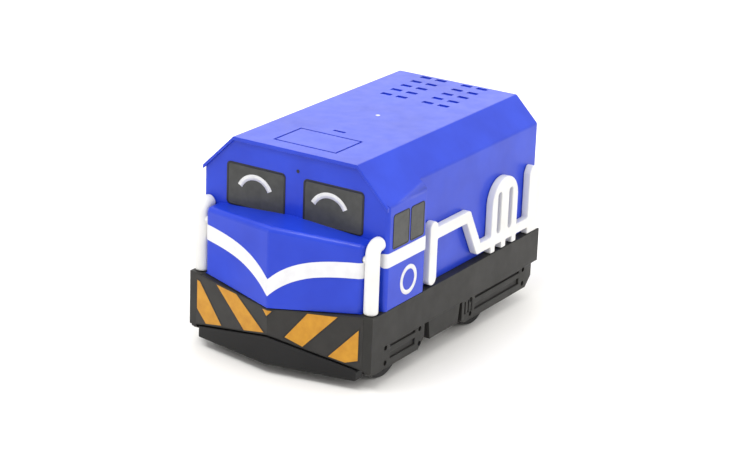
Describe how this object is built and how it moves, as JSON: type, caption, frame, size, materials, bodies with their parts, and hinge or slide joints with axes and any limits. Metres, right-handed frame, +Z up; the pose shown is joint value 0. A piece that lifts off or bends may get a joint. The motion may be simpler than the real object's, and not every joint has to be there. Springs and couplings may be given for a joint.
{
  "type": "toy train locomotive",
  "caption": "Toy diesel locomotive with a V-shaped nose, full-width cab, hood, hand rails, snow plow, rear coupler and a pull-back motor driving the rear axle.",
  "frame": {"origin": "centre of the overall box in plan, on the surface that the wheels stand on", "axes": "+Z up; the front (nose and plow) faces -Y and the coupler +Y; +X is the locomotive's left side"},
  "size_m": [0.03, 0.0542, 0.0303],
  "materials": {
    "shell_blue": "satin moulded plastic",
    "chassis_grey": "matt moulded plastic",
    "plow_black": "glossy moulded plastic",
    "rail_white": "smooth white plastic",
    "wheel_black": "moulded plastic",
    "tyre_rubber": "soft matt rubber",
    "axle_steel": "drawn steel",
    "case_nylon": "natural nylon",
    "gear_acetal": "natural acetal",
    "spring_steel": "blued spring steel",
    "screw_steel": "zinc-plated steel",
    "coupler_plastic": "moulded plastic"
  },
  "bodies": {
    "locomotive": {"body_shell": "shell_blue", "chassis_frame": "chassis_grey", "snow_plow": "plow_black", "left_handrail": "rail_white", "right_handrail": "rail_white", "left_front_grab_rail": "rail_white", "right_front_grab_rail": "rail_white", "motor_case_left": "case_nylon", "motor_case_right": "case_nylon", "idler_shaft": "axle_steel", "spring_arbor": "axle_steel", "case_screws": "screw_steel", "motor_screws": "screw_steel", "body_screws": "screw_steel", "coupler_pin": "screw_steel"},
    "front_wheelset": {"front_axle": "axle_steel", "front_left_wheel": "wheel_black", "front_right_wheel": "wheel_black"},
    "rear_wheelset": {"rear_axle": "axle_steel", "rear_left_wheel": "wheel_black", "rear_right_wheel": "wheel_black", "rear_left_tyre": "tyre_rubber", "rear_right_tyre": "tyre_rubber", "axle_pinion": "gear_acetal"},
    "idler": {"idler_gear": "gear_acetal"},
    "drum": {"spring_drum": "gear_acetal", "mainspring": "spring_steel"},
    "coupler": {"coupler_bar": "coupler_plastic"}
  },
  "joints": [
    {"name": "front_axle_roll", "type": "hinge", "parent": "locomotive", "child": "front_wheelset", "pos_m": [0, -0.01815, 0.0042], "axis": [1, 0, 0], "continuous": true},
    {"name": "rear_axle_roll", "type": "hinge", "parent": "locomotive", "child": "rear_wheelset", "pos_m": [0, 0.00615, 0.0042], "axis": [1, 0, 0], "continuous": true},
    {"name": "idler_spin", "type": "hinge", "parent": "locomotive", "child": "idler", "pos_m": [0, 0.00055, 0.00806], "axis": [1, 0, 0], "continuous": true},
    {"name": "drum_spin", "type": "hinge", "parent": "locomotive", "child": "drum", "pos_m": [0, 0.00455, 0.01499], "axis": [1, 0, 0], "continuous": true},
    {"name": "coupler_swing", "type": "hinge", "parent": "locomotive", "child": "coupler", "pos_m": [0, 0.01745, 0.0068], "axis": [0, 0, 1], "range_deg": [-25, 25]}
  ],
  "couplings": [
    {"joint": "idler_spin", "follows": "rear_axle_roll", "ratio": -0.41667},
    {"joint": "drum_spin", "follows": "rear_axle_roll", "ratio": 0.13889}
  ]
}
